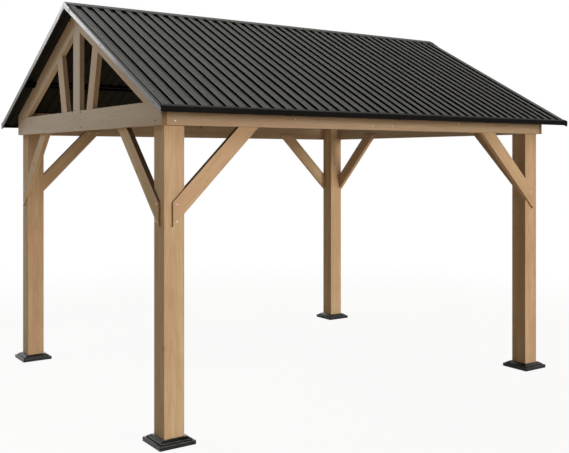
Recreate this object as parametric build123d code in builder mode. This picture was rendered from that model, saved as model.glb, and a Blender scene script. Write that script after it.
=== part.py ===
"""Garden gazebo: four posts on black foot covers, braced beams, open gable trusses and a box-rib metal roof.

X runs along the ridge, Y across it and Z up, in millimetres. The origin is on the ground under the middle.
The front and back sides are the eaves at -Y and +Y, and the left and right sides the gables at -X and +X.
"""
import os
from math import ceil, cos, floor, radians, sin, tan

from build123d import *

os.makedirs("parts", exist_ok=True)

# Posts and their foot covers
post_size = 146.0
post_spacing_x = 3470.0
post_spacing_y = 2764.0
post_edge_round = 4.0
foot_width = 256.0
foot_plate = 6.0
foot_skirt_height = 28.0
foot_skirt_round = 6.0
foot_step_width = 222.0
foot_step_height = 9.0
foot_step_round = 4.0
foot_collar_rim = 9.0
foot_height = 50.0
foot_clearance = 2.0

# Boards of the frame
board_thickness = 38.0
board_edge = 2.5
beam_underside = 2050.0
beam_proud = 33.0
tie_depth = 155.0

# Braces
brace_width = 112.0
brace_proud = 15.0
brace_lap = 89.0
brace_reach = 548.0
brace_tongue = 50.0

# Gable trusses
rafter_heel = 24.0
rafter_depth = 148.0
king_width = 140.0
strut_width = 116.0
strut_lean = 14.5
strut_foot = 269.0

# Roof
roof_pitch = 27.75
gable_overhang = 99.0
eave_overhang = 190.0
purlin_rise = 8.0
purlin_depth = 30.0
purlin_top = 40.0
purlin_flange = 15.0
purlin_wall = 2.0
purlin_position = 1000.0
ridge_beam_depth = 140.0
ridge_gap = 12.0
notch_clearance = 1.0

# Box-rib sheets and their trims
sheet_thickness = 1.0
rib_pitch = 92.5
rib_height = 15.0
rib_top = 40.0
rib_flank = 5.0
ribs_per_sheet = 10
sheets_per_slope = 4
lap_clearance = 0.3
lap_lip = 4.0
trim_thickness = 1.5
trim_clearance = 1.0
trim_joint = 0.5
trim_lip = 9.0
cap_width = 52.0
cap_lip = 7.0
cap_plate_width = 112.0
cap_apron = 44.0
eave_face = 35.0
eave_flange = 23.0
rake_drop = 5.5
rake_face = 36.0
rake_flange = 16.0
rake_crease = 3.0
end_cap_width = 48.0
end_cap_height = 37.0
end_cap_thickness = 3.0
end_cap_rim = 4.0
end_cap_recess = 1.0

# Faces and levels that follow from the sizes above
post_half = post_size / 2
post_face_x = post_spacing_x / 2 + post_half
post_face_y = post_spacing_y / 2 + post_half
frame_face_x = post_face_x + beam_proud
frame_face_y = post_face_y + beam_proud
inner_face_x = frame_face_x - board_thickness
inner_face_y = frame_face_y - board_thickness
seat_depth = board_thickness - beam_proud
tie_top = beam_underside + tie_depth
slope_run = cos(radians(roof_pitch))
slope_rise = sin(radians(roof_pitch))
slope = tan(radians(roof_pitch))
eave_y = frame_face_y + eave_overhang
gable_x = frame_face_x + gable_overhang
rafter_crest = tie_top + rafter_heel + frame_face_y * slope
sheet_crest = rafter_crest + purlin_rise / slope_run
lap_rise = sheet_thickness + lap_clearance
rib_rise = sheet_thickness + rib_height + lap_rise
rib_crest = sheet_crest + rib_rise / slope_run
trim_rise = trim_thickness / slope_run
brace_cut = brace_width * 2 ** 0.5


def save(piece, label):
    """Name a finished piece and write it."""
    piece.part.label = label
    export_step(piece.part, f"parts/{label}.step")


def side_plane(turn, distance):
    """Upright plane on one side of the frame: x to the right seen from outside, y up, normal outwards."""
    outward = (sin(radians(turn)), -cos(radians(turn)), 0)
    rightward = (cos(radians(turn)), sin(radians(turn)), 0)
    origin = (outward[0] * distance, outward[1] * distance, 0)
    return Plane(origin=origin, x_dir=rightward, z_dir=outward)


def down_slope_plane(side, crest):
    """Plane square to a slope at the eave: x along the ridge, y square off the roof, normal up the slope."""
    origin = (0, side * eave_y, crest - eave_y * slope)
    return Plane(origin=origin, x_dir=(side, 0, 0), z_dir=(0, -side * slope_run, slope_rise))


def along_ridge_plane(side, y, crest):
    """Plane square to the ridge at a distance y from it: x up the slope, y square off the roof."""
    origin = (0, side * y, crest - y * slope)
    return Plane(origin=origin, x_dir=(0, -side * slope_run, slope_rise), z_dir=(-side, 0, 0))


def ease_edges(board, turn):
    """Round the edges of a board's two broad faces, on the side of the frame that a turn names."""
    across = Axis.Y if turn in (0, 180) else Axis.X
    fillet(board.edges().filter_by(across, reverse=True), board_edge)


# Posts: squared timber, cut back over the beams' depth so that each beam has a seat
for side_y, depth_name in ((-1, "front"), (1, "back")):
    for side_x, width_name in ((-1, "left"), (1, "right")):
        centre_x = side_x * post_spacing_x / 2
        centre_y = side_y * post_spacing_y / 2
        with BuildPart() as post:
            with BuildSketch(Plane.XY.offset(foot_plate)):
                with Locations((centre_x, centre_y)):
                    RectangleRounded(post_size, post_size, post_edge_round)
            extrude(amount=beam_underside - foot_plate)
            with BuildSketch(Plane.XY.offset(beam_underside)):
                with Locations((centre_x - side_x * seat_depth / 2, centre_y - side_y * seat_depth / 2)):
                    Rectangle(post_size - seat_depth, post_size - seat_depth)
            extrude(amount=tie_depth)
        save(post, f"{depth_name}_{width_name}_post")

# Foot covers: a skirt with a rounded shoulder, a rounded step and a slope up to the collar round the post
pocket_width = post_size + 2 * foot_clearance
collar_width = pocket_width + 2 * foot_collar_rim
step_top = foot_skirt_height + foot_step_height
for side_y, depth_name in ((-1, "front"), (1, "back")):
    for side_x, width_name in ((-1, "left"), (1, "right")):
        centre = (side_x * post_spacing_x / 2, side_y * post_spacing_y / 2)
        with BuildPart() as foot_cover:
            with BuildSketch():
                with Locations(centre):
                    Rectangle(foot_width, foot_width)
            extrude(amount=foot_skirt_height)
            fillet(foot_cover.faces().sort_by(Axis.Z)[-1].edges(), foot_skirt_round)
            with BuildSketch(Plane.XY.offset(foot_skirt_height)):
                with Locations(centre):
                    Rectangle(foot_step_width, foot_step_width)
            extrude(amount=foot_step_height)
            fillet(foot_cover.faces().sort_by(Axis.Z)[-1].edges(), foot_step_round)
            with BuildSketch(Plane.XY.offset(step_top)):
                with Locations(centre):
                    Rectangle(foot_step_width - 2 * foot_step_round, foot_step_width - 2 * foot_step_round)
            with BuildSketch(Plane.XY.offset(foot_height)):
                with Locations(centre):
                    Rectangle(collar_width, collar_width)
            loft()
            with BuildSketch(Plane.XY.offset(foot_plate)):
                with Locations(centre):
                    Rectangle(pocket_width, pocket_width)
            extrude(amount=foot_height, mode=Mode.SUBTRACT)
        save(foot_cover, f"{depth_name}_{width_name}_foot_cover")

# Braces: boards at 45 degrees, rebated to lap over the post's face below and to pass behind the beam above
sides = (
    ("front", 0, post_face_x, post_face_y, ("left", "right")),
    ("right", 90, post_face_y, post_face_x, ("front", "back")),
    ("back", 180, post_face_x, post_face_y, ("right", "left")),
    ("left", 270, post_face_y, post_face_x, ("back", "front")),
)
for side_name, turn, half_width, face_distance, corner_names in sides:
    for hand, corner_name in ((-1, corner_names[0]), (1, corner_names[1])):
        heel_x = half_width - post_size + brace_lap
        upper_heel = beam_underside - brace_reach + half_width - heel_x
        tongue_top = beam_underside + brace_tongue
        tip_x = half_width - brace_reach - brace_tongue
        with BuildPart() as brace:
            with BuildSketch(side_plane(turn, face_distance + brace_proud)):
                with BuildLine():
                    Polyline(
                        (hand * heel_x, upper_heel - brace_cut),
                        (hand * heel_x, upper_heel),
                        (hand * tip_x, tongue_top),
                        (hand * (tip_x - brace_cut), tongue_top),
                        close=True,
                    )
                make_face()
            extrude(amount=-board_thickness)
            ease_edges(brace, turn)
            with BuildSketch(side_plane(turn, face_distance)):
                with Locations((hand * half_width, beam_underside / 2)):
                    Rectangle(2 * post_size, beam_underside)
            extrude(amount=-board_thickness, mode=Mode.SUBTRACT)
            with BuildSketch(side_plane(turn, face_distance - seat_depth)):
                with Locations((hand * tip_x, tongue_top)):
                    Rectangle(4 * brace_cut, 2 * brace_tongue)
            extrude(amount=board_thickness, mode=Mode.SUBTRACT)
        save(brace, f"{side_name}_brace_{corner_name}")

# Long beams: boards between the trusses, with their tops cut to the roof's pitch to carry the sheets
for side, label in ((-1, "front_beam"), (1, "back_beam")):
    with BuildPart() as beam:
        with BuildSketch(Plane.YZ):
            with BuildLine():
                Polyline(
                    (side * frame_face_y, beam_underside),
                    (side * frame_face_y, sheet_crest - frame_face_y * slope),
                    (side * inner_face_y, sheet_crest - inner_face_y * slope),
                    (side * inner_face_y, beam_underside),
                    close=True,
                )
            make_face()
        extrude(amount=inner_face_x, both=True)
        fillet(beam.edges().filter_by(Axis.X), board_edge)
    save(beam, label)

# Gable ties: the trusses' lower boards, which close the ends of the long beams
for turn, label in ((270, "left_tie"), (90, "right_tie")):
    with BuildPart() as tie:
        with BuildSketch(side_plane(turn, inner_face_x)):
            with Locations((0, beam_underside + tie_depth / 2)):
                Rectangle(2 * frame_face_y, tie_depth)
        extrude(amount=board_thickness)
        ease_edges(tie, turn)
    save(tie, label)

# Rafters: seated on the tie, butted against the king post and notched for the purlin
rafter_drop = rafter_depth / slope_run
rafter_seat = (rafter_crest - rafter_drop - tie_top) / slope
for turn, gable_name in ((270, "left"), (90, "right")):
    for hand in (-1, 1):
        side = hand if turn == 90 else -hand
        with BuildPart() as rafter:
            with BuildSketch(side_plane(turn, inner_face_x)):
                with BuildLine():
                    Polyline(
                        (hand * king_width / 2, rafter_crest - king_width / 2 * slope),
                        (hand * frame_face_y, rafter_crest - frame_face_y * slope),
                        (hand * frame_face_y, tie_top),
                        (hand * rafter_seat, tie_top),
                        (hand * king_width / 2, rafter_crest - rafter_drop - king_width / 2 * slope),
                        close=True,
                    )
                make_face()
            extrude(amount=board_thickness)
            ease_edges(rafter, turn)
            with BuildSketch(along_ridge_plane(side, purlin_position, sheet_crest)):
                Rectangle(
                    purlin_top + 2 * purlin_flange + 2 * notch_clearance,
                    2 * purlin_depth,
                )
            extrude(amount=gable_x, both=True, mode=Mode.SUBTRACT)
        save(rafter, f"{gable_name}_rafter_{'front' if side < 0 else 'back'}")

# King posts: upright boards from the tie to the crest, pointed to the roof's pitch
for turn, label in ((270, "left_king_post"), (90, "right_king_post")):
    with BuildPart() as king_post:
        with BuildSketch(side_plane(turn, inner_face_x)):
            with BuildLine():
                Polyline(
                    (-king_width / 2, tie_top),
                    (-king_width / 2, rafter_crest - king_width / 2 * slope),
                    (0, rafter_crest),
                    (king_width / 2, rafter_crest - king_width / 2 * slope),
                    (king_width / 2, tie_top),
                    close=True,
                )
            make_face()
        extrude(amount=board_thickness)
        ease_edges(king_post, turn)
    save(king_post, label)

# Struts: a pair of boards in each truss that lean out from the tie to the rafters' lower edges
lean = tan(radians(strut_lean))
strut_half = strut_width / 2 / cos(radians(strut_lean))


def under_rafter(foot):
    """Point where a strut's edge that starts at a foot on the tie meets the rafter's lower edge."""
    rise = (rafter_crest - rafter_drop - foot * slope - tie_top) / (1 + lean * slope)
    return foot + lean * rise, tie_top + rise


for turn, label in ((270, "left_struts"), (90, "right_struts")):
    with BuildPart() as struts:
        for hand in (-1, 1):
            inner_top = under_rafter(strut_foot - strut_half)
            outer_top = under_rafter(strut_foot + strut_half)
            with BuildSketch(side_plane(turn, inner_face_x)):
                with BuildLine():
                    Polyline(
                        (hand * (strut_foot - strut_half), tie_top),
                        (hand * inner_top[0], inner_top[1]),
                        (hand * outer_top[0], outer_top[1]),
                        (hand * (strut_foot + strut_half), tie_top),
                        close=True,
                    )
                make_face()
            extrude(amount=board_thickness)
        ease_edges(struts, turn)
    save(struts, label)

# Ridge beam: a board on edge between the king posts, pointed to carry both slopes
with BuildPart() as ridge_beam:
    with BuildSketch(Plane.YZ):
        with BuildLine():
            Polyline(
                (-board_thickness / 2, sheet_crest - ridge_beam_depth),
                (-board_thickness / 2, sheet_crest - board_thickness / 2 * slope),
                (0, sheet_crest),
                (board_thickness / 2, sheet_crest - board_thickness / 2 * slope),
                (board_thickness / 2, sheet_crest - ridge_beam_depth),
                close=True,
            )
        make_face()
    extrude(amount=inner_face_x, both=True)
save(ridge_beam, "ridge_beam")

# Purlins: top-hat steel sections between the rake trims' lips, let into the rafters
purlin_half_length = gable_x - trim_lip - trim_clearance
for side, label in ((-1, "front_purlin"), (1, "back_purlin")):
    with BuildPart() as purlin:
        with BuildSketch(along_ridge_plane(side, purlin_position, sheet_crest)):
            with Locations((0, -purlin_depth / 2)):
                Rectangle(purlin_top, purlin_depth)
            with Locations((0, -purlin_depth / 2 - purlin_wall)):
                Rectangle(purlin_top - 2 * purlin_wall, purlin_depth, mode=Mode.SUBTRACT)
            flange_x = (purlin_top + purlin_flange - purlin_wall) / 2
            flange_y = purlin_wall / 2 - purlin_depth
            with Locations((-flange_x, flange_y), (flange_x, flange_y)):
                Rectangle(purlin_flange + purlin_wall, purlin_wall)
        extrude(amount=purlin_half_length, both=True)
    save(purlin, label)

# Roof sheets: box-rib profile, each sheet rolled as one section from the eave to the ridge. A sheet starts
# with a rib of its own, and its other edge carries a wider rib that laps over the next sheet's first one
rib_foot = rib_top / 2 + rib_flank
sheet_edge = gable_x - trim_thickness - trim_clearance
sheet_start = (trim_thickness + trim_clearance) / slope_run + rib_rise * slope
sheet_run = (eave_y - ridge_gap) / slope_run - sheet_start


def underside_line(first, end_index):
    """Underside of a run of ribs, one at each whole pitch."""
    points = []
    for index in range(first, end_index):
        middle = (index + 0.5) * rib_pitch
        points.append((middle - rib_foot, 0))
        points.append((middle - rib_top / 2, rib_height))
        points.append((middle + rib_top / 2, rib_height))
        points.append((middle + rib_foot, 0))
    return points


def lap_line(index):
    """Underside of the wider rib that laps over the rib of this index on the next sheet."""
    middle = (index + 0.5) * rib_pitch
    wide_foot = rib_foot + lap_rise
    wide_top = rib_top / 2 + lap_rise
    return [
        (middle - wide_foot, 0),
        (middle - wide_top, rib_height + lap_rise),
        (middle + wide_top, rib_height + lap_rise),
        (middle + wide_foot, lap_rise),
        (middle + wide_foot + lap_lip, lap_rise),
    ]


for side, turned, slope_name in ((-1, True, "front"), (1, False, "back")):
    for number in range(sheets_per_slope):
        first_rib = round((number - sheets_per_slope / 2) * ribs_per_sheet)
        next_rib = first_rib + ribs_per_sheet
        if number == 0:
            first_rib = ceil((rib_foot - sheet_edge) / rib_pitch - 0.5)
            underside = [(-sheet_edge, 0)] + underside_line(first_rib, next_rib) + lap_line(next_rib)
        elif number == sheets_per_slope - 1:
            end_rib = floor((sheet_edge - rib_foot) / rib_pitch - 0.5) + 1
            underside = underside_line(first_rib, end_rib) + [(sheet_edge, 0)]
        else:
            underside = underside_line(first_rib, next_rib) + lap_line(next_rib)
        upper_side = [(x, y + sheet_thickness) for x, y in reversed(underside)]
        with BuildPart() as sheet:
            with BuildSketch(down_slope_plane(side, sheet_crest).offset(sheet_start)):
                with BuildLine():
                    Polyline(*underside, *upper_side, close=True)
                make_face()
            extrude(amount=sheet_run)
        position = sheets_per_slope - number if turned else number + 1
        save(sheet, f"{slope_name}_roof_sheet_{position}")

# Eave trims: folded strips whose flanges lie on the ribs' lower ends, over the rake trims too, and whose
# upright faces with their lips stop between the rake trims
eave_crest = rib_crest - eave_y * slope
trim_end = gable_x - rake_flange - trim_joint
for side, label in ((-1, "front_eave_trim"), (1, "back_eave_trim")):
    with BuildPart() as eave_trim:
        with BuildSketch(Plane.YZ):
            with BuildLine():
                Polyline(
                    (side * (eave_y - eave_flange), eave_crest + eave_flange * slope),
                    (side * (eave_y - eave_flange), eave_crest + eave_flange * slope + trim_rise),
                    (side * eave_y, eave_crest + trim_rise),
                    (side * eave_y, eave_crest),
                    close=True,
                )
            make_face()
        extrude(amount=gable_x, both=True)
        with BuildSketch(Plane.YZ):
            with BuildLine():
                Polyline(
                    (side * eave_y, eave_crest),
                    (side * eave_y, eave_crest - eave_face),
                    (side * (eave_y - trim_lip), eave_crest - eave_face),
                    (side * (eave_y - trim_lip), eave_crest - eave_face + trim_thickness),
                    (side * (eave_y - trim_thickness), eave_crest - eave_face + trim_thickness),
                    (side * (eave_y - trim_thickness), eave_crest + trim_thickness * slope),
                    close=True,
                )
            make_face()
        extrude(amount=trim_end, both=True)
    save(eave_trim, label)

# Rake trims: folded strips over the gable ends of the sheets, below the ribs' tops, with a crease along the
# face, cut plumb
rake_middle = rake_face / 2
rake_section = (
    (rake_flange, 0),
    (rake_flange, -trim_thickness),
    (0, -trim_thickness),
    (0, rake_middle - rake_crease),
    (rake_crease, rake_middle),
    (0, rake_middle + rake_crease),
    (0, rake_face),
    (trim_lip, rake_face),
    (trim_lip, rake_face - trim_thickness),
    (trim_thickness, rake_face - trim_thickness),
    (trim_thickness, rake_middle + rake_crease),
    (trim_thickness + rake_crease, rake_middle),
    (trim_thickness, rake_middle - rake_crease),
    (trim_thickness, 0),
)
for end_side, label in ((-1, "left_rake_trims"), (1, "right_rake_trims")):
    with BuildPart() as rake_trims:
        for side, turn in ((-1, 0), (1, 180)):
            hand = -end_side * side
            points = []
            for inset, drop in rake_section:
                points.append((hand * (gable_x - inset), eave_crest - (rake_drop + drop) / slope_run))
            with BuildSketch(side_plane(turn, eave_y)):
                with BuildLine():
                    Polyline(*points, close=True)
                make_face()
            extrude(amount=(eave_y - trim_joint) / slope_run, dir=(0, -side * slope_run, slope_rise))
    save(rake_trims, label)

# Eave end caps: pressed plates with a raised rim, over the corners where the eave and rake trims meet
cap_plate_z = eave_crest - eave_face + end_cap_height / 2
with BuildPart() as eave_end_caps:
    for turn in (0, 180):
        for hand in (-1, 1):
            cap_plate_x = hand * (gable_x - end_cap_width / 2)
            with BuildSketch(side_plane(turn, eave_y)):
                with Locations((cap_plate_x, cap_plate_z)):
                    Rectangle(end_cap_width, end_cap_height)
            extrude(amount=end_cap_thickness)
            with BuildSketch(side_plane(turn, eave_y + end_cap_thickness)):
                with Locations((cap_plate_x, cap_plate_z)):
                    Rectangle(end_cap_width - 2 * end_cap_rim, end_cap_height - 2 * end_cap_rim)
            extrude(amount=-end_cap_recess, mode=Mode.SUBTRACT)
save(eave_end_caps, "eave_end_caps")

# Ridge cap: one folded strip, a little flatter than the roof, whose turned-down edges rest on the ribs. Its
# ends run past the rake trims, where wider plates turned down from it cover the trims' mitres
cap_crest = rib_crest + trim_rise
cap_peak = cap_crest + trim_rise
cap_edge = rib_crest - cap_width * slope
cap_fold = cap_edge + cap_lip
cap_inner = cap_width - trim_thickness
cap_end = gable_x + trim_joint + trim_thickness
with BuildPart() as ridge_cap:
    with BuildSketch(Plane.YZ):
        with BuildLine():
            Polyline(
                (0, cap_peak - trim_rise),
                (0, cap_peak),
                (-cap_width, cap_fold),
                (-cap_width, cap_fold - trim_rise),
                close=True,
            )
        make_face()
        mirror(about=Plane.YZ)
    extrude(amount=cap_end, both=True)
    with BuildSketch(Plane.YZ):
        with BuildLine():
            Polyline(
                (-cap_width, cap_fold - trim_rise),
                (-cap_width, cap_edge),
                (-cap_inner, cap_edge + trim_thickness * slope),
                (-cap_inner, cap_fold - trim_rise / 2),
                close=True,
            )
        make_face()
        mirror(about=Plane.YZ)
    extrude(amount=trim_end, both=True)
    for turn in (90, 270):
        with BuildSketch(side_plane(turn, cap_end)):
            with BuildLine():
                Polyline(
                    (0, cap_peak - trim_rise),
                    (-cap_width, cap_fold - trim_rise),
                    (-cap_width, cap_crest - cap_width * slope),
                    (-cap_plate_width, cap_crest - cap_plate_width * slope),
                    (-cap_plate_width, cap_crest - cap_plate_width * slope - cap_apron),
                    (0, cap_crest - cap_apron),
                    close=True,
                )
            make_face()
            mirror(about=Plane.YZ)
        extrude(amount=-trim_thickness)
save(ridge_cap, "ridge_cap")
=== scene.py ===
"""Garden gazebo: the finish of each board, sheet and trim, their screws and laps, and a plain studio."""
import math
import random

import bmesh
import bpy
from mathutils import Matrix, Vector


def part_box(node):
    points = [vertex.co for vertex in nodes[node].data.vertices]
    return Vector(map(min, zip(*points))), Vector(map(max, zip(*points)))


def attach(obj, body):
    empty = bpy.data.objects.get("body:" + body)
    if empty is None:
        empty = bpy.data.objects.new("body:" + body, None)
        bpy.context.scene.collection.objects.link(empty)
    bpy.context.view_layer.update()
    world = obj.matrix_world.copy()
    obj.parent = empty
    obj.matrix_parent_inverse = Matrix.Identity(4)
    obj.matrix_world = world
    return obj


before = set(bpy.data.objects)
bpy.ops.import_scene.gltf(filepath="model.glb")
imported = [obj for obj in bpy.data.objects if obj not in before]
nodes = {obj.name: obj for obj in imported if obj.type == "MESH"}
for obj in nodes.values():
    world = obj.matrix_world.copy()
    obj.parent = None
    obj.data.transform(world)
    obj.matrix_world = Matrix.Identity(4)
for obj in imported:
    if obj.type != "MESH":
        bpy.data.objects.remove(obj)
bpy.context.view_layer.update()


# View: a level camera near eye height, outside the front left corner. Its lens is shifted down to take in
# the foot covers. Image places are in pixels of the 569 x 453 frame, and places of things in metres.
IMAGE_WIDTH = 569
IMAGE_HEIGHT = 453
FOCAL_PIXELS = 835.5
HORIZON_ROW = 157.5
EYE = (-4.180, -6.264, 1.844)
HEADING = 0.6015

camera_data = bpy.data.cameras.new("camera")
camera_data.lens = FOCAL_PIXELS / IMAGE_WIDTH * camera_data.sensor_width
camera_data.shift_y = (HORIZON_ROW - IMAGE_HEIGHT / 2) / IMAGE_WIDTH
camera = bpy.data.objects.new("camera", camera_data)
camera.location = EYE
camera.rotation_euler = (math.radians(90), 0, -HEADING)
bpy.context.scene.collection.objects.link(camera)
bpy.context.scene.camera = camera


# Foot covers: folded steel covers with mitred corners, in a glossy black coat. Each slides down its post
# and hides the bracket that holds the post to the ground, so dust gathers on its lower skirt.
class Wire:
    """An output of a shader node that takes plain arithmetic, each step of which adds a Math node."""

    def __init__(self, finish, socket):
        self.finish = finish
        self.socket = socket

    def step(self, operation, *operands):
        return self.finish.add("Math", {"operation": operation}, dict(enumerate(operands)))

    def other(self, output):
        """Another output of the same node."""
        return Wire(self.finish, self.socket.node.outputs[output])

    def __add__(self, other):
        return self.step("ADD", self, other)

    def __radd__(self, other):
        return self.step("ADD", other, self)

    def __sub__(self, other):
        return self.step("SUBTRACT", self, other)

    def __rsub__(self, other):
        return self.step("SUBTRACT", other, self)

    def __mul__(self, other):
        return self.step("MULTIPLY", self, other)

    def __rmul__(self, other):
        return self.step("MULTIPLY", other, self)

    def __abs__(self):
        return self.step("ABSOLUTE", self)


class Finish:
    """A surface finish, or the surround's: the nodes of one owner, and the one way they are added."""

    def __init__(self, owner):
        owner.use_nodes = True
        self.owner = owner
        self.tree = owner.node_tree
        self.shader = self.tree.nodes.get("Principled BSDF")
        self.colour = None

    def feed(self, socket, value):
        """Give an input another node's output or a plain value."""
        if isinstance(value, Wire):
            self.tree.links.new(value.socket, socket)
        else:
            socket.default_value = value

    def add(self, kind, settings, inputs, output=0):
        """Add a node with its settings and inputs, and return one output."""
        node = self.tree.nodes.new("ShaderNode" + kind)
        for name, value in settings.items():
            setattr(node, name, value)
        for name, value in inputs.items():
            self.feed(node.inputs[name], value)
        return Wire(self, node.outputs[output])

    def place(self):
        """Position on the object."""
        return self.add("TexCoord", {}, {}, "Object")

    def facing(self):
        """Direction in which the surface faces."""
        return self.add("NewGeometry", {}, {}, "Normal")

    def parts(self, vector):
        """The three parts of a vector."""
        x = self.add("SeparateXYZ", {}, {0: vector})
        return x, x.other(1), x.other(2)

    def laid(self, vector, turn, shift):
        """Position turned, then shifted."""
        return self.add("Mapping", {}, {"Vector": vector, "Location": shift, "Rotation": turn})

    def noise(self, vector, stretch, detail=3.0, roughness=0.55):
        """Noise whose grains measure about one over the stretch along each axis."""
        place = self.add("Mapping", {}, {"Vector": vector, "Scale": stretch})
        inputs = {"Vector": place, "Scale": 1.0, "Detail": detail, "Roughness": roughness}
        return self.add("TexNoise", {}, inputs)

    def ramp(self, value, low, high, start=0.0, end=1.0):
        """Smooth step of a value from one number to another between two limits."""
        inputs = {"Value": value, "From Min": low, "From Max": high, "To Min": start, "To Max": end}
        return self.add("MapRange", {"interpolation_type": "SMOOTHSTEP"}, inputs)

    def larger(self, first, second):
        return self.add("Math", {"operation": "MAXIMUM"}, {0: first, 1: second})

    def far(self, x, y):
        """Distance of a point, given by two lengths, from where both are nought."""
        point = self.add("CombineXYZ", {}, {0: x, 1: y})
        return self.add("VectorMath", {"operation": "LENGTH"}, {0: point}, "Value")

    def shown(self):
        """One on rays from the camera, straight or by way of gloss or glass."""
        straight = self.add("LightPath", {}, {}, "Is Camera Ray")
        return straight + straight.other("Is Glossy Ray") + straight.other("Is Transmission Ray")

    def blend(self, mask, first, second):
        """Mix of two colours, by a mask."""
        return self.add("Mix", {"data_type": "RGBA"}, {0: mask, 6: first, 7: second}, 2)

    def relief(self, height, depth):
        """Fine bumps in the surface, as deep as said where the height is one."""
        return self.add("Bump", {}, {"Height": height, "Distance": depth})

    def set(self, **sockets):
        """Set the shader's own sockets, whose names have underscores here for spaces."""
        for name, value in sockets.items():
            self.feed(self.shader.inputs[name.replace("_", " ")], value)
        self.colour = sockets.get("Base_Color", self.colour)

    def cover(self, mask, layer):
        """Show another shader over what is there so far, where a mask says."""
        ending = self.tree.nodes["Material Output"].inputs["Surface"]
        so_far = Wire(self, ending.links[0].from_socket)
        self.feed(ending, self.add("MixShader", {}, {0: mask, 1: so_far, 2: layer}))


def new_finish(name):
    return Finish(bpy.data.materials.new(name))


def paint(finish, *names):
    """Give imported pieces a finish."""
    for name in names:
        mesh = nodes[name].data
        mesh.materials.clear()
        mesh.materials.append(finish.owner)


COVER_BLACK = (0.007, 0.007, 0.0075, 1)
COVER_DUST = (0.07, 0.066, 0.06, 1)
# Colour of the painted highlights on the folds and the collar of the covers.
COVER_HIGHLIGHT = (0.16, 0.16, 0.16, 1)
SEAM_BLACK = (0.001, 0.001, 0.001, 1)
MITRE_WIDTH = 0.0024
COVER_FOLDS = (0.0265, 0.036)
COVER_COLLAR = 0.0495
EDGE_WIDTH = 0.0016
HIGHLIGHT_GRAIN = (30, 30, 30)
DUST_GRAIN = (34, 34, 34)
SPECKLE_GRAIN = (900, 900, 900)

foot_low, foot_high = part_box("front_left_foot_cover")
foot_x = -(foot_low.x + foot_high.x) / 2
foot_y = -(foot_low.y + foot_high.y) / 2
corners = [(y, x) for y in ("front", "back") for x in ("left", "right")]

coat = new_finish("glossy_black_coat")
spot = coat.place()
spot_x, spot_y, spot_z = coat.parts(spot)
off_mitre = abs(abs(abs(spot_x) - foot_x) - abs(abs(spot_y) - foot_y))
mitre = coat.ramp(off_mitre, MITRE_WIDTH / 2, MITRE_WIDTH, 1.0, 0.0)
# Painted highlights: thin lighter lines round the collar and along the two folds, broken up by noise, stand
# in for light caught on the rounded edges.
highlight_lines = coat.ramp(abs(spot_z - COVER_COLLAR), EDGE_WIDTH / 2, EDGE_WIDTH, 0.8, 0.0)
for fold in COVER_FOLDS:
    edge = coat.ramp(abs(spot_z - fold), EDGE_WIDTH / 2, EDGE_WIDTH, 0.6, 0.0)
    highlight_lines = coat.larger(highlight_lines, edge)
patchy = highlight_lines * coat.ramp(coat.noise(spot, HIGHLIGHT_GRAIN), 0.35, 0.65, 0.25, 1.0)
low_down = coat.ramp(spot_z, 0.0, foot_high.z, 1.0, 0.15)
dust = coat.ramp(coat.noise(spot, DUST_GRAIN, 6.0, 0.65), 0.48, 0.76) * low_down * 0.3
speckle = coat.noise(spot, SPECKLE_GRAIN, 2.0)
colour = coat.blend(dust, COVER_BLACK, COVER_DUST)
colour = coat.blend(patchy, colour, COVER_HIGHLIGHT)
coat.set(
    Base_Color=coat.blend(mitre, colour, SEAM_BLACK),
    Roughness=0.22 + dust * 0.8 + mitre * 0.5 + speckle * 0.08,
    Normal=coat.relief(speckle - mitre * 2.0, 0.00025),
    Specular_IOR_Level=0.2,
)
paint(coat, *[f"{y}_{x}_foot_cover" for y, x in corners])


# Posts: square posts of planed softwood under a light tan stain, one length each. The stain takes up darker
# along the late wood and on the cut ends, and darkest in the few knots.
TAN = (0.505, 0.345, 0.190, 1)
TAN_PALE = (0.60, 0.44, 0.265, 1)
TAN_ROSY = (0.50, 0.315, 0.185, 1)
TAN_GREYED = (0.47, 0.42, 0.365, 1)
TAN_DEEP = (0.30, 0.170, 0.082, 1)
KNOT = (0.15, 0.070, 0.03, 1)
END_GRAIN = (0.27, 0.165, 0.090, 1)
RING_SPACING = 0.0055
RING_SWELL = 0.006
RING_SWAY = 0.07
PITH_BEHIND = 0.085
PITH_ASIDE = 0.03
PITH_LEAN = (0.01, 0.025)
KNOT_GAP = 0.2
KNOT_SIZE = 0.009
PATTERN_REACH = 9
SWAY_GRAIN = (0.8, 2.5, 2.5)
STREAK_GRAIN = (0.5, 26, 26)
BROAD_GRAIN = (0.9, 8, 8)
BLOTCH_GRAIN = (4, 14, 14)
FIBRE_GRAIN = (9, 420, 420)
POST_SEED = 1


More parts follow.
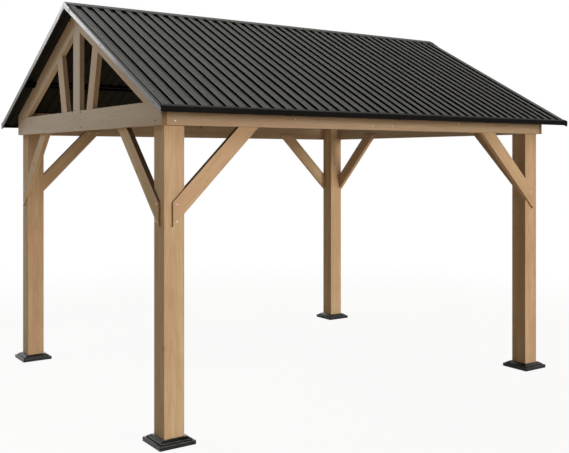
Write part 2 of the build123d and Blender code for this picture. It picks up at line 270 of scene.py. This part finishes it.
def timber(board, along, outward, seed, folded=False, middle=None, greyed=0.0):
    """Finish of a stained board: its grain along, its broad face outward, its own pattern by a seed.

    A folded pattern is the same on both sides of the ridge line. A board has its pattern about its own
    middle, unless another middle is given, and may be greyed by a share.
    """
    wood = new_finish("stained_" + board)
    place = wood.place()
    if middle is None:
        low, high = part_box(board)
        middle = (low + high) / 2
    if folded:
        x, y, z = wood.parts(place)
        place = wood.add("CombineXYZ", {}, {0: x, 1: abs(y), 2: z})
    turned = Matrix((along, outward.cross(along), outward))
    board_place = wood.laid(place, turned.to_euler(), -(turned @ middle))
    chance = random.Random(seed)
    shift = Vector([chance.uniform(-PATTERN_REACH, PATTERN_REACH) for axis in range(3)])
    own_place = wood.laid(board_place, (0, 0, 0), shift)

    knots = wood.add("TexVoronoi", {"feature": "F1"}, {"Vector": own_place, "Scale": 1 / KNOT_GAP})
    knot = wood.ramp(knots, KNOT_SIZE / KNOT_GAP * 0.8, KNOT_SIZE / KNOT_GAP, 1.0, 0.0)
    near_knot = wood.ramp(knots, 0.0, KNOT_SIZE / KNOT_GAP * 4, 1.0, 0.0)
    run, across, deep = wood.parts(board_place)
    sway = wood.noise(own_place, SWAY_GRAIN, 2.0)
    across = across + chance.uniform(-PITH_ASIDE, PITH_ASIDE) + (sway - 0.5) * RING_SWAY
    deep = deep + PITH_BEHIND + run * chance.uniform(*PITH_LEAN)
    growth = (wood.far(across, deep) + near_knot * RING_SWELL) * (math.tau / RING_SPACING)
    late = wood.ramp(wood.add("Math", {"operation": "SINE"}, {0: growth}), -0.1, 1.0)
    streaks = wood.ramp(wood.noise(own_place, STREAK_GRAIN, 4.0, 0.6), 0.34, 0.68)
    broad = wood.ramp(wood.noise(own_place, BROAD_GRAIN, 3.0), 0.36, 0.66)
    blotches = wood.ramp(wood.noise(own_place, BLOTCH_GRAIN, 4.0, 0.6), 0.42, 0.78)
    fibre = wood.noise(own_place, FIBRE_GRAIN, 3.0, 0.6)

    colour = wood.blend(streaks, TAN_PALE, TAN)
    colour = wood.blend(broad * 0.8, colour, TAN_ROSY)
    colour = wood.blend(blotches * 0.22, colour, TAN_DEEP)
    colour = wood.blend(late * 0.12, colour, TAN_DEEP)
    colour = wood.blend(wood.ramp(fibre, 0.3, 0.62, 0.25, 0.0), colour, TAN_DEEP)
    colour = wood.blend(near_knot * 0.3, colour, TAN_DEEP)
    colour = wood.blend(greyed, colour, TAN_GREYED)
    colour = wood.blend(knot * 0.8, colour, KNOT)
    squareness = {0: wood.facing(), 1: along}
    end_on = abs(wood.add("VectorMath", {"operation": "DOT_PRODUCT"}, squareness, "Value"))
    colour = wood.blend(wood.ramp(end_on, 0.6, 0.8), colour, END_GRAIN)
    wood.set(
        Base_Color=colour,
        Roughness=0.52 + fibre * 0.16 - late * 0.06,
        Normal=wood.relief(fibre * 0.5 + late * 0.5 - knot * 0.6, 0.0004),
        Specular_IOR_Level=0.06,
    )
    return wood


ALONG_X = Vector((1, 0, 0))
ALONG_Y = Vector((0, 1, 0))
UPRIGHT = Vector((0, 0, 1))

for seed, (y, x) in enumerate(corners, POST_SEED):
    paint(timber(f"{y}_{x}_post", UPRIGHT, -ALONG_Y, seed), f"{y}_{x}_post")


# Braces: stained boards at 45 degrees from each post to the beam or tie beside it, with painted shade on
# their upper edges, standing in for the shade of the beam and roof above.
# Two zinc screws hold the lower end to the post, and two from inside hold the tongue to the beam or tie.
ZINC = (0.95, 0.91, 0.84, 1)
ZINC_DULL = (0.72, 0.67, 0.59, 1)
# Colour of the painted shade on the upper edges of the braces.
BRACE_TOP_SHADE = (0.045, 0.022, 0.011, 1)
METAL_GRAIN = (300, 300, 300)
SCREW_SIDES = 10
SCREW_WIDTH = 0.0105
SCREW_HEIGHT = 0.0026
SCREW_TOP_SHARE = 0.36
DRIVE_RIM_SHARE = 0.14
DRIVE_DEPTH_SHARE = 0.5
WASHER_TOP_SHARE = 0.44
WASHER_HEIGHT_SHARE = 0.3
BRACE_SEED = 10
BRACE_PROUD = 0.015
BRACE_HEEL = 0.057
BRACE_SCREW_INSET = 0.028
BRACE_SCREW_HEIGHTS = (1.4345, 1.5432)
TONGUE_DEPTH = 0.023
TONGUE_SCREW_PLACES = (0.63, 0.72)
TONGUE_SCREW_HEIGHT = 2.077

low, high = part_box("front_left_post")
POST_FACES = {"front": -low.y, "back": -low.y, "left": -low.x, "right": -low.x}
POST_ENDS = {"front": -low.x, "back": -low.x, "left": -low.y, "right": -low.y}

zinc = new_finish("zinc_screws")
zinc_mottle = zinc.noise(zinc.place(), METAL_GRAIN, 3.0)
zinc.set(
    Base_Color=zinc.blend(zinc_mottle, ZINC, ZINC_DULL),
    Roughness=0.3 + zinc_mottle * 0.2,
    Metallic=0.4,
)


def add_screw(shape, place, outward, width=SCREW_WIDTH, height=SCREW_HEIGHT, washer=0.0):
    """Add a screw head with a sunken drive, and a washer under it if that has a width."""
    old = set(shape.verts)
    if washer:
        thick = height * WASHER_HEIGHT_SHARE
        rise = Matrix.Translation((0, 0, thick / 2))
        radii = {"radius1": washer / 2, "radius2": washer * WASHER_TOP_SHARE, "depth": thick}
        bmesh.ops.create_cone(shape, cap_ends=True, segments=SCREW_SIDES, matrix=rise, **radii)
    rise = Matrix.Translation((0, 0, height / 2))
    radii = {"radius1": width / 2, "radius2": width * SCREW_TOP_SHARE, "depth": height}
    bmesh.ops.create_cone(shape, cap_ends=True, segments=SCREW_SIDES, matrix=rise, **radii)
    new = [vert for vert in shape.verts if vert not in old]
    faces = {face for vert in new for face in vert.link_faces}
    top = max(faces, key=lambda face: face.calc_center_median().z)
    rim = width * DRIVE_RIM_SHARE
    bmesh.ops.inset_region(shape, faces=[top], thickness=rim, depth=-height * DRIVE_DEPTH_SHARE)
    new = [vert for vert in shape.verts if vert not in old]
    turn = outward.to_track_quat("Z", "Y").to_matrix().to_4x4()
    bmesh.ops.transform(shape, matrix=Matrix.Translation(place) @ turn, verts=new)


def new_piece(name, shape, finish):
    """Make a finished piece of the gazebo from a bmesh."""
    bmesh.ops.recalc_face_normals(shape, faces=shape.faces)
    mesh = bpy.data.meshes.new(name)
    shape.to_mesh(mesh)
    shape.free()
    mesh.materials.append(finish.owner)
    piece = bpy.data.objects.new(name, mesh)
    bpy.context.scene.collection.objects.link(piece)
    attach(piece, "root")


def on_side(outward, face, along, reach, height):
    """Point on the face that lies so far outward, so far along it and so high."""
    return outward * face + along * reach + UPRIGHT * height


SIDES = {
    "front": (-ALONG_Y, ALONG_X, ("left", "right")),
    "back": (ALONG_Y, ALONG_X, ("left", "right")),
    "left": (-ALONG_X, ALONG_Y, ("front", "back")),
    "right": (ALONG_X, ALONG_Y, ("front", "back")),
}
seed = BRACE_SEED
for side_name, (outward, sideways, ends) in SIDES.items():
    shape = bmesh.new()
    for hand, end_name in zip((-1, 1), ends):
        name = f"{side_name}_brace_{end_name}"
        rising = (UPRIGHT - hand * sideways).normalized()
        brace = timber(name, rising, outward, seed)
        # Painted shade: faces of the brace that look upward are darkened, standing in for the shade of the
        # beam and roof above.
        painted_top_shade = brace.ramp(brace.parts(brace.facing())[2], 0.3, 0.6)
        brace.set(Base_Color=brace.blend(painted_top_shade * 0.75, brace.colour, BRACE_TOP_SHADE))
        paint(brace, name)
        seed += 1
        face = POST_FACES[side_name] + BRACE_PROUD
        reach = hand * (POST_ENDS[side_name] - BRACE_HEEL - BRACE_SCREW_INSET)
        for height in BRACE_SCREW_HEIGHTS:
            add_screw(shape, on_side(outward, face, sideways, reach, height), outward)
        face = POST_FACES[side_name] - TONGUE_DEPTH
        for inset in TONGUE_SCREW_PLACES:
            reach = hand * (POST_ENDS[side_name] - inset)
            add_screw(shape, on_side(outward, face, sideways, reach, TONGUE_SCREW_HEIGHT), -outward)
    new_piece(f"{side_name}_brace_screws", shape, zinc)


# Long beams: stained boards on edge between the two gable ties, over the posts. Zinc screws show at their
# ends, near their middles and in between, and pocket holes for slanted screws open on their undersides.
BEAM_FACE = 1.488
BEAM_INNER_FACE = 1.450
BEAM_SCREWS = ((1.7454, 2.0785), (0.8104, 2.1123), (0.0965, 2.0808))
BEAM_INNER_SCREWS = ((0.093, 2.077), (0.122, 2.077))
POCKET_PLACES = (1.520, 0.940)
POCKET_REACH = 1.466
POCKET_LENGTH = 0.016
POCKET_WIDTH = 0.006
POCKET_DARK = (0.022, 0.011, 0.006, 1)
UNDERSIDE = 2.05
MASK_EDGE = 0.001
BEAM_GREYED = 0.2
BEAM_SEED = 20

for seed, side_name in enumerate(("front", "back"), BEAM_SEED):
    outward = SIDES[side_name][0]
    beam = timber(f"{side_name}_beam", ALONG_X, outward, seed, greyed=BEAM_GREYED)
    x, y, z = beam.parts(beam.place())
    pockets = 0.0
    for reach in POCKET_PLACES:
        off_x = (abs(x) - reach) * (POCKET_WIDTH / POCKET_LENGTH)
        far = beam.far(off_x, abs(y) - POCKET_REACH)
        pockets = pockets + beam.ramp(far, POCKET_WIDTH * 0.8, POCKET_WIDTH, 1.0, 0.0)
    pockets = pockets * beam.ramp(z, UNDERSIDE + MASK_EDGE, UNDERSIDE + MASK_EDGE * 2, 1.0, 0.0)
    beam.set(Base_Color=beam.blend(pockets, beam.colour, POCKET_DARK))
    paint(beam, f"{side_name}_beam")
    shape = bmesh.new()
    for hand in (-1, 1):
        for reach, height in BEAM_SCREWS:
            add_screw(shape, on_side(outward, BEAM_FACE, ALONG_X, hand * reach, height), outward)
        for reach, height in BEAM_INNER_SCREWS:
            add_screw(shape, on_side(outward, BEAM_INNER_FACE, ALONG_X, hand * reach, height), -outward)
    new_piece(f"{side_name}_beam_screws", shape, zinc)


# Gable ties and trusses: stained boards, a little greyer than the posts, butted flush. The king post, struts
# and rafters stand on the tie. Black screws show in its face, and two black bolts by the king post's head.
SCREW_BLACK = (0.012, 0.010, 0.009, 1)
TIE_FACE = 1.841
TIE_SCREWS = ((1.3966, 2.0801), (1.3644, 2.1968), (0.0888, 2.075), (0.0888, 2.19))
APEX_BOLT = (0.14, 2.921)
BOLT_WIDTH = 0.014
BOLT_HEIGHT = 0.005
BOLT_WASHER = 0.021
PITCH = math.radians(27.75)
STRUT_LEAN = math.radians(14.5)
STRUT_MIDDLE = Vector((0, 0.33, 2.43))
GREYED = 0.4
TIE_SEED = 30
KING_POST_SEED = 40
STRUT_SEED = 50
RAFTER_SEEDS = {-1: 55, 1: 75}

black_screw = new_finish("black_screws")
screw_mottle = black_screw.noise(black_screw.place(), METAL_GRAIN, 3.0)
black_screw.set(Base_Color=SCREW_BLACK, Roughness=0.35 + screw_mottle * 0.2, Specular_IOR_Level=0.3)

for number, gable in enumerate(("left", "right")):
    outward = SIDES[gable][0]
    tie = timber(f"{gable}_tie", ALONG_Y, outward, TIE_SEED + number, greyed=GREYED)
    paint(tie, f"{gable}_tie")
    king_post = timber(f"{gable}_king_post", UPRIGHT, outward, KING_POST_SEED + number, greyed=GREYED)
    paint(king_post, f"{gable}_king_post")
    leaning = Vector((0, math.sin(STRUT_LEAN), math.cos(STRUT_LEAN)))
    middle = outward * TIE_FACE + STRUT_MIDDLE
    struts = timber(f"{gable}_struts", leaning, outward, STRUT_SEED + number, True, middle, GREYED / 2)
    paint(struts, f"{gable}_struts")
    shape = bmesh.new()
    for hand, end_name in ((-1, "front"), (1, "back")):
        name = f"{gable}_rafter_{end_name}"
        rising = Vector((0, -hand * math.cos(PITCH), math.sin(PITCH)))
        paint(timber(name, rising, outward, RAFTER_SEEDS[hand] + number, greyed=GREYED / 2), name)
        for reach, height in TIE_SCREWS:
            add_screw(shape, on_side(outward, TIE_FACE, ALONG_Y, hand * reach, height), outward)
        reach, height = APEX_BOLT
        bolt_place = on_side(outward, TIE_FACE, ALONG_Y, hand * reach, height)
        add_screw(shape, bolt_place, outward, BOLT_WIDTH, BOLT_HEIGHT, BOLT_WASHER)
    new_piece(f"{gable}_truss_screws", shape, black_screw)


# Ridge beam: one stained board on edge, close under the ridge of the sheets. The two trusses carry it
# between their king posts.
RIDGE_BEAM_SEED = 60

paint(timber("ridge_beam", ALONG_X, ALONG_Y, RIDGE_BEAM_SEED), "ridge_beam")


# Purlins: top-hat sections of folded steel in a satin black coat, let into the rafters to carry the sheets.
BLACK = (0.0055, 0.0052, 0.0047, 1)
BLACK_WORN = (0.0095, 0.009, 0.008, 1)
BLACK_TOP = (0.04, 0.039, 0.036, 1)
SCUFF_GRAIN = (3, 25, 25)
COAT_GRAIN = (500, 500, 500)

black = new_finish("satin_black_coat")
spot = black.place()
scuffs = black.ramp(black.noise(spot, SCUFF_GRAIN, 5.0, 0.6), 0.45, 0.75)
orange_peel = black.noise(spot, COAT_GRAIN, 3.0)
dulled = black.ramp(black.parts(black.facing())[2], 0.4, 0.8)
black.set(
    Base_Color=black.blend(dulled, black.blend(scuffs, BLACK, BLACK_WORN), BLACK_TOP),
    Roughness=0.5 + orange_peel * 0.15 + scuffs * 0.1,
    Normal=black.relief(orange_peel, 0.0002),
    Specular_IOR_Level=0.02,
)
paint(black, "front_purlin", "back_purlin")


# Roof sheets: box-rib steel sheets, roll formed, with a fine crinkled dark grey coat. Each laps over the
# rib of the next one. Screws with sealing washers go through the ribs into the beams and the purlins.
SHEET_GREY = (0.056, 0.0545, 0.049, 1)
SHEET_GREY_PALE = (0.112, 0.1095, 0.100, 1)
# Painted highlight colour for the rib bends, then painted shade colour for the rib flanks and for the
# valleys under the ridge cap.
SHEET_BEND = (0.20, 0.197, 0.187, 1)
SHEET_FLANK_SHADE = (0.010, 0.010, 0.009, 1)
SHEET_UNDER = (0.032, 0.030, 0.025, 1)
RIB_PITCH = 0.0925
RIB_HALF_TOP = 0.020
BEND_WIDTH = 0.0045
CAP_REACH = 0.056
CAP_SHADE = 0.022
CRINKLE_GRAIN = (75, 75, 75)
MOTTLE_GRAIN = (5, 5, 5)
RUN_GRAIN = (60, 1.5, 1.5)
RIB_TOP_CREST = 3.0390
SHEET_SCREW_LINES = (1.469, 1.000)
SHEET_SCREW_RIBS = range(-21, 21, 2)
SHEET_SCREW_WIDTH = 0.008
SHEET_SCREW_HEIGHT = 0.0045
SHEET_WASHER = 0.014

sheets = new_finish("crinkled_grey_coat")
spot = sheets.place()
along_ridge, off_ridge, _ = sheets.parts(spot)
face_x, _, face_z = sheets.parts(sheets.facing())
# Painted shade: the rib flanks, which face along the ridge, are covered with a dark matte colour.
flank_shade = sheets.ramp(abs(face_x), 0.25, 0.6)
under = sheets.ramp(face_z, -0.2, 0.0, 1.0, 0.0)
on_pitch = sheets.add("Math", {"operation": "FRACT"}, {0: along_ridge * (1 / RIB_PITCH)})
from_rib = (on_pitch - 0.5) * RIB_PITCH
bend_place = RIB_HALF_TOP - BEND_WIDTH / 2
# Painted highlights: thin pale lines along the two top bends of each rib, stronger on the left one.
left_bend_highlight = sheets.ramp(abs(from_rib + bend_place), BEND_WIDTH / 2, BEND_WIDTH, 0.85, 0.0)
right_bend_highlight = sheets.ramp(abs(from_rib - bend_place), BEND_WIDTH / 2, BEND_WIDTH, 0.35, 0.0)
crinkle = sheets.noise(spot, CRINKLE_GRAIN, 4.0, 0.7)
mottle = sheets.noise(spot, MOTTLE_GRAIN, 4.0, 0.6)
runs = sheets.noise(spot, RUN_GRAIN, 3.0, 0.6)
patchy = sheets.ramp(crinkle * 0.65 + mottle * 0.15 + runs * 0.2, 0.4, 0.6)
colour = sheets.blend(patchy, SHEET_GREY, SHEET_GREY_PALE)
colour = sheets.blend((left_bend_highlight + right_bend_highlight) * (0.5 + crinkle), colour, SHEET_BEND)
sheets.set(
    Base_Color=colour,
    Roughness=0.55 + crinkle * 0.2 + mottle * 0.1,
    Normal=sheets.relief(crinkle, 0.0004),
    Specular_IOR_Level=0.12,
)
# Painted shade: the valleys close under the edge of the ridge cap go dark.
valley = sheets.ramp(abs(from_rib), RIB_HALF_TOP, RIB_HALF_TOP + BEND_WIDTH)
shade_under_cap = sheets.ramp(abs(off_ridge), CAP_REACH, CAP_REACH + CAP_SHADE, 1.0, 0.0)
shaded = sheets.larger(flank_shade, valley * shade_under_cap)
for mask, dull_colour in ((shaded, SHEET_FLANK_SHADE), (under, SHEET_UNDER)):
    sheets.cover(mask, sheets.add("BsdfDiffuse", {}, {"Color": dull_colour, "Roughness": 0.8}))
paint(sheets, *[f"{side}_roof_sheet_{number}" for side in ("front", "back") for number in range(1, 5)])

sheet_screw = new_finish("grey_sheet_screws")
screw_grain = sheet_screw.noise(sheet_screw.place(), METAL_GRAIN, 3.0)
sheet_screw.set(
    Base_Color=sheet_screw.blend(screw_grain, SHEET_GREY_PALE, SHEET_BEND),
    Roughness=0.5 + screw_grain * 0.2,
    Specular_IOR_Level=0.3,
)
for hand, side_name in ((-1, "front"), (1, "back")):
    square_off = Vector((0, hand * math.sin(PITCH), math.cos(PITCH)))
    shape = bmesh.new()
    for reach in SHEET_SCREW_LINES:
        for rib in SHEET_SCREW_RIBS:
            height = RIB_TOP_CREST - reach * math.tan(PITCH)
            place = Vector(((rib + 0.5) * RIB_PITCH, hand * reach, height))
            add_screw(shape, place, square_off, SHEET_SCREW_WIDTH, SHEET_SCREW_HEIGHT, SHEET_WASHER)
    new_piece(f"{side_name}_sheet_screws", shape, sheet_screw)


# Eave trims and end caps: folded strips in the satin black coat, each in four lengths that lap over one
# another, with pressed caps over the corners.
LAP_PLACES = (-0.998, -0.017, 0.933)
LAP_LENGTH = 0.036
LAP_THICKNESS = 0.001
LAP_DROP = 0.0028
EAVE_REACH = 1.678
EAVE_TOP = 2.1594
EAVE_FACE_DEPTH = 0.0367
EAVE_FLANGE = 0.023

paint(black, "front_eave_trim", "back_eave_trim", "eave_end_caps")
for hand, side_name in ((-1, "front"), (1, "back")):
    inner = EAVE_REACH - EAVE_FLANGE
    inner_top = EAVE_TOP + EAVE_FLANGE * math.tan(PITCH)
    section = (
        (inner, inner_top),
        (inner, inner_top + LAP_THICKNESS),
        (EAVE_REACH + LAP_THICKNESS, EAVE_TOP + LAP_THICKNESS / 2),
        (EAVE_REACH + LAP_THICKNESS, EAVE_TOP - EAVE_FACE_DEPTH - LAP_DROP),
        (EAVE_REACH, EAVE_TOP - EAVE_FACE_DEPTH - LAP_DROP),
        (EAVE_REACH, EAVE_TOP),
    )
    shape = bmesh.new()
    for place in LAP_PLACES:
        verts = [shape.verts.new((-hand * place - LAP_LENGTH / 2, hand * y, z)) for y, z in section]
        outline = shape.faces.new(verts)
        grown = bmesh.ops.extrude_face_region(shape, geom=[outline])
        moved = [item for item in grown["geom"] if isinstance(item, bmesh.types.BMVert)]
        bmesh.ops.translate(shape, vec=(LAP_LENGTH, 0, 0), verts=moved)
    new_piece(f"{side_name}_eave_laps", shape, black)


# Rake trims: folded strips over the gable ends of the sheets, with a silvery face, a crease along it and a
# dark grey flange. The silvery face is partly a light coat and partly painted reflection that grows brighter
# towards the apex, and a painted shade line follows the crease. Black screws just below the crease hold
# them.
RAKE_SILVER = (0.86, 0.78, 0.72, 1)
RAKE_GREY = (0.25, 0.235, 0.215, 1)
RAKE_LINE = (0.05, 0.05, 0.05, 1)
CREST = 3.0405
RAKE_TOP_EDGE = (0.0082, 0.0107)
RAKE_CREASE = 0.0266
CREASE_EDGE = (0.0015, 0.004)
RAKE_SCREW_DROP = 0.0315
RAKE_SCREW_PLACES = (0.728, 1.572)
RAKE_SCREW_HEIGHT = 0.0018
RAKE_OUTER_FACE = 1.940
CLOUD_GRAIN = (6, 6, 6)
REFLECTION_HEIGHTS = (2.5, 3.15)


def silver(name, fold_line):
    """Finish of the silvery faces that look out from a gable, dark grey on every other side.

    The silvery colour is partly a light coat and partly painted reflection, brighter towards the apex. A
    painted shade line follows the crease, and a fold line darkens the upper edge of such a face.
    """
    trim = new_finish(name)
    spot = trim.place()
    _, y, z = trim.parts(spot)
    face_x = trim.parts(trim.facing())[0]
    # Partly painted reflection: faces that look out from a gable take the silvery colour, partly a light
    # coat.
    outer = trim.ramp(abs(face_x), 0.4, 0.7)
    drop = (CREST - z) - abs(y) * math.tan(PITCH)
    # Painted shade: a dark line along the crease of the face.
    line = trim.ramp(abs(drop - RAKE_CREASE), *CREASE_EDGE, 0.55, 0.0)
    if fold_line:
        line = trim.larger(line, trim.ramp(drop, *RAKE_TOP_EDGE, 1.0, 0.0))
    clouds = trim.noise(spot, CLOUD_GRAIN, 4.0)
    # Painted reflection: the silvery face grows brighter towards the apex.
    painted_reflection = trim.ramp(z + clouds * 0.4, *REFLECTION_HEIGHTS)
    face_colour = trim.blend(painted_reflection, RAKE_GREY, RAKE_SILVER)
    face_colour = trim.blend(line, face_colour, RAKE_LINE)
    trim.set(
        Base_Color=trim.blend(outer, SHEET_GREY, face_colour),
        Metallic=outer * 0.25,
        Roughness=0.55 - outer * 0.2 + clouds * 0.1,
        Specular_IOR_Level=0.15,
    )
    return trim


paint(silver("silvery_rake_trim", True), "left_rake_trims", "right_rake_trims")
for gable in ("left", "right"):
    outward = SIDES[gable][0]
    shape = bmesh.new()
    for hand in (-1, 1):
        for reach in RAKE_SCREW_PLACES:
            height = CREST - RAKE_SCREW_DROP - reach * math.tan(PITCH)
            place = on_side(outward, RAKE_OUTER_FACE, ALONG_Y, hand * reach, height)
            add_screw(shape, place, outward, SCREW_WIDTH, RAKE_SCREW_HEIGHT)
    new_piece(f"{gable}_rake_screws", shape, black_screw)


# Ridge cap: one folded steel strip in the coat of the sheets, laid over their upper ends. Its end plates
# are silvery like the rake trims, partly a light coat and partly painted reflection, and black rivets set
# flush in them hold it.
RIVET_PLACES = ((0.0, 3.0035), (0.095, 2.958))
RIVET_SIZE = 0.0052
RIVET_DARK = (0.004, 0.004, 0.004, 1)
CAP_END = 1.9385

cap = silver("ridge_cap_coat", False)
x, y, z = cap.parts(cap.place())
at_end = cap.ramp(abs(x), CAP_END, CAP_END + MASK_EDGE)
rivets = 0.0
for reach, height in RIVET_PLACES:
    far = cap.far(abs(y) - reach, z - height)
    rivets = rivets + cap.ramp(far, RIVET_SIZE * 0.7, RIVET_SIZE, 1.0, 0.0)
cap.set(Base_Color=cap.blend(rivets * at_end, cap.colour, RIVET_DARK))
paint(cap, "ridge_cap")


# Studio: a pale floor, a white surround, a high and a low key light from the front, a fill from the back,
# a cool panel above the left gable and a dim sky. The floor shows white but for the gazebo's shadow.
FLOOR_REACH = 60.0
FLOOR_NEAR = 3.5
FLOOR_FAR = 7.5
FLOOR_TONE = (0.86, 0.72, 0.56, 1)
FLOOR_LIFT = 0.93

floor_mesh = bpy.data.meshes.new("floor")
shape = bmesh.new()
bmesh.ops.create_grid(shape, x_segments=1, y_segments=1, size=FLOOR_REACH)
shape.to_mesh(floor_mesh)
shape.free()
floor = bpy.data.objects.new("floor", floor_mesh)
bpy.context.scene.collection.objects.link(floor)

paper = new_finish("pale_floor")
paper.set(Base_Color=FLOOR_TONE, Roughness=0.9, Specular_IOR_Level=0.0)
out = paper.add("VectorMath", {"operation": "LENGTH"}, {0: paper.place()}, "Value")
glow = paper.add("Emission", {}, {"Color": (1, 1, 1, 1), "Strength": 1.0})
paper.cover(paper.shown() * paper.ramp(out, FLOOR_NEAR, FLOOR_FAR, FLOOR_LIFT, 1.0), glow)
floor_mesh.materials.append(paper.owner)

SKY_COLOUR = (1.0, 0.94, 0.86, 1)
SKY_LEVEL = 0.15
world = bpy.data.worlds.new("surround")
bpy.context.scene.world = world
surround = Finish(world)
sky = surround.add("Background", {}, {"Color": SKY_COLOUR, "Strength": SKY_LEVEL})
white = surround.add("Background", {}, {"Color": (1, 1, 1, 1), "Strength": 1.0})
surround.feed(
    surround.tree.nodes["World Output"].inputs["Surface"],
    surround.add("MixShader", {}, {0: surround.shown(), 1: sky, 2: white}),
)

SUNS = (
    ("high_key", (0.42, -0.78, 0.62), 1.1, 28, (0.93, 0.965, 1.0)),
    ("low_key", (0.25, -0.95, 0.08), 2.05, 24, (1.0, 0.955, 0.90)),
    ("back_fill", (0.35, 0.85, 0.40), 0.6, 40, (1.0, 0.98, 0.95)),
)
for name, source, strength, spread, colour in SUNS:
    sun_data = bpy.data.lights.new(name, "SUN")
    sun_data.energy = strength
    sun_data.angle = math.radians(spread)
    sun_data.color = colour
    sun = bpy.data.objects.new(name, sun_data)
    sun.rotation_euler = Vector(source).to_track_quat("Z", "Y").to_euler()
    bpy.context.scene.collection.objects.link(sun)

PANEL_PLACE = Vector((-3.3, 1.6, 4.6))
PANEL_AIM = Vector((-1.9, -0.2, 2.2))
PANEL_POWER = 108
PANEL_SIZE = (3.6, 1.6)
PANEL_COLOUR = (0.62, 0.80, 1.0)
panel_data = bpy.data.lights.new("gable_panel", "AREA")
panel_data.shape = "RECTANGLE"
panel_data.energy = PANEL_POWER
panel_data.size, panel_data.size_y = PANEL_SIZE
panel_data.color = PANEL_COLOUR
panel = bpy.data.objects.new("gable_panel", panel_data)
panel.location = PANEL_PLACE
panel.rotation_euler = (PANEL_PLACE - PANEL_AIM).to_track_quat("Z", "Y").to_euler()
panel.visible_camera = False
bpy.context.scene.collection.objects.link(panel)

bpy.context.scene.view_settings.view_transform = "Standard"
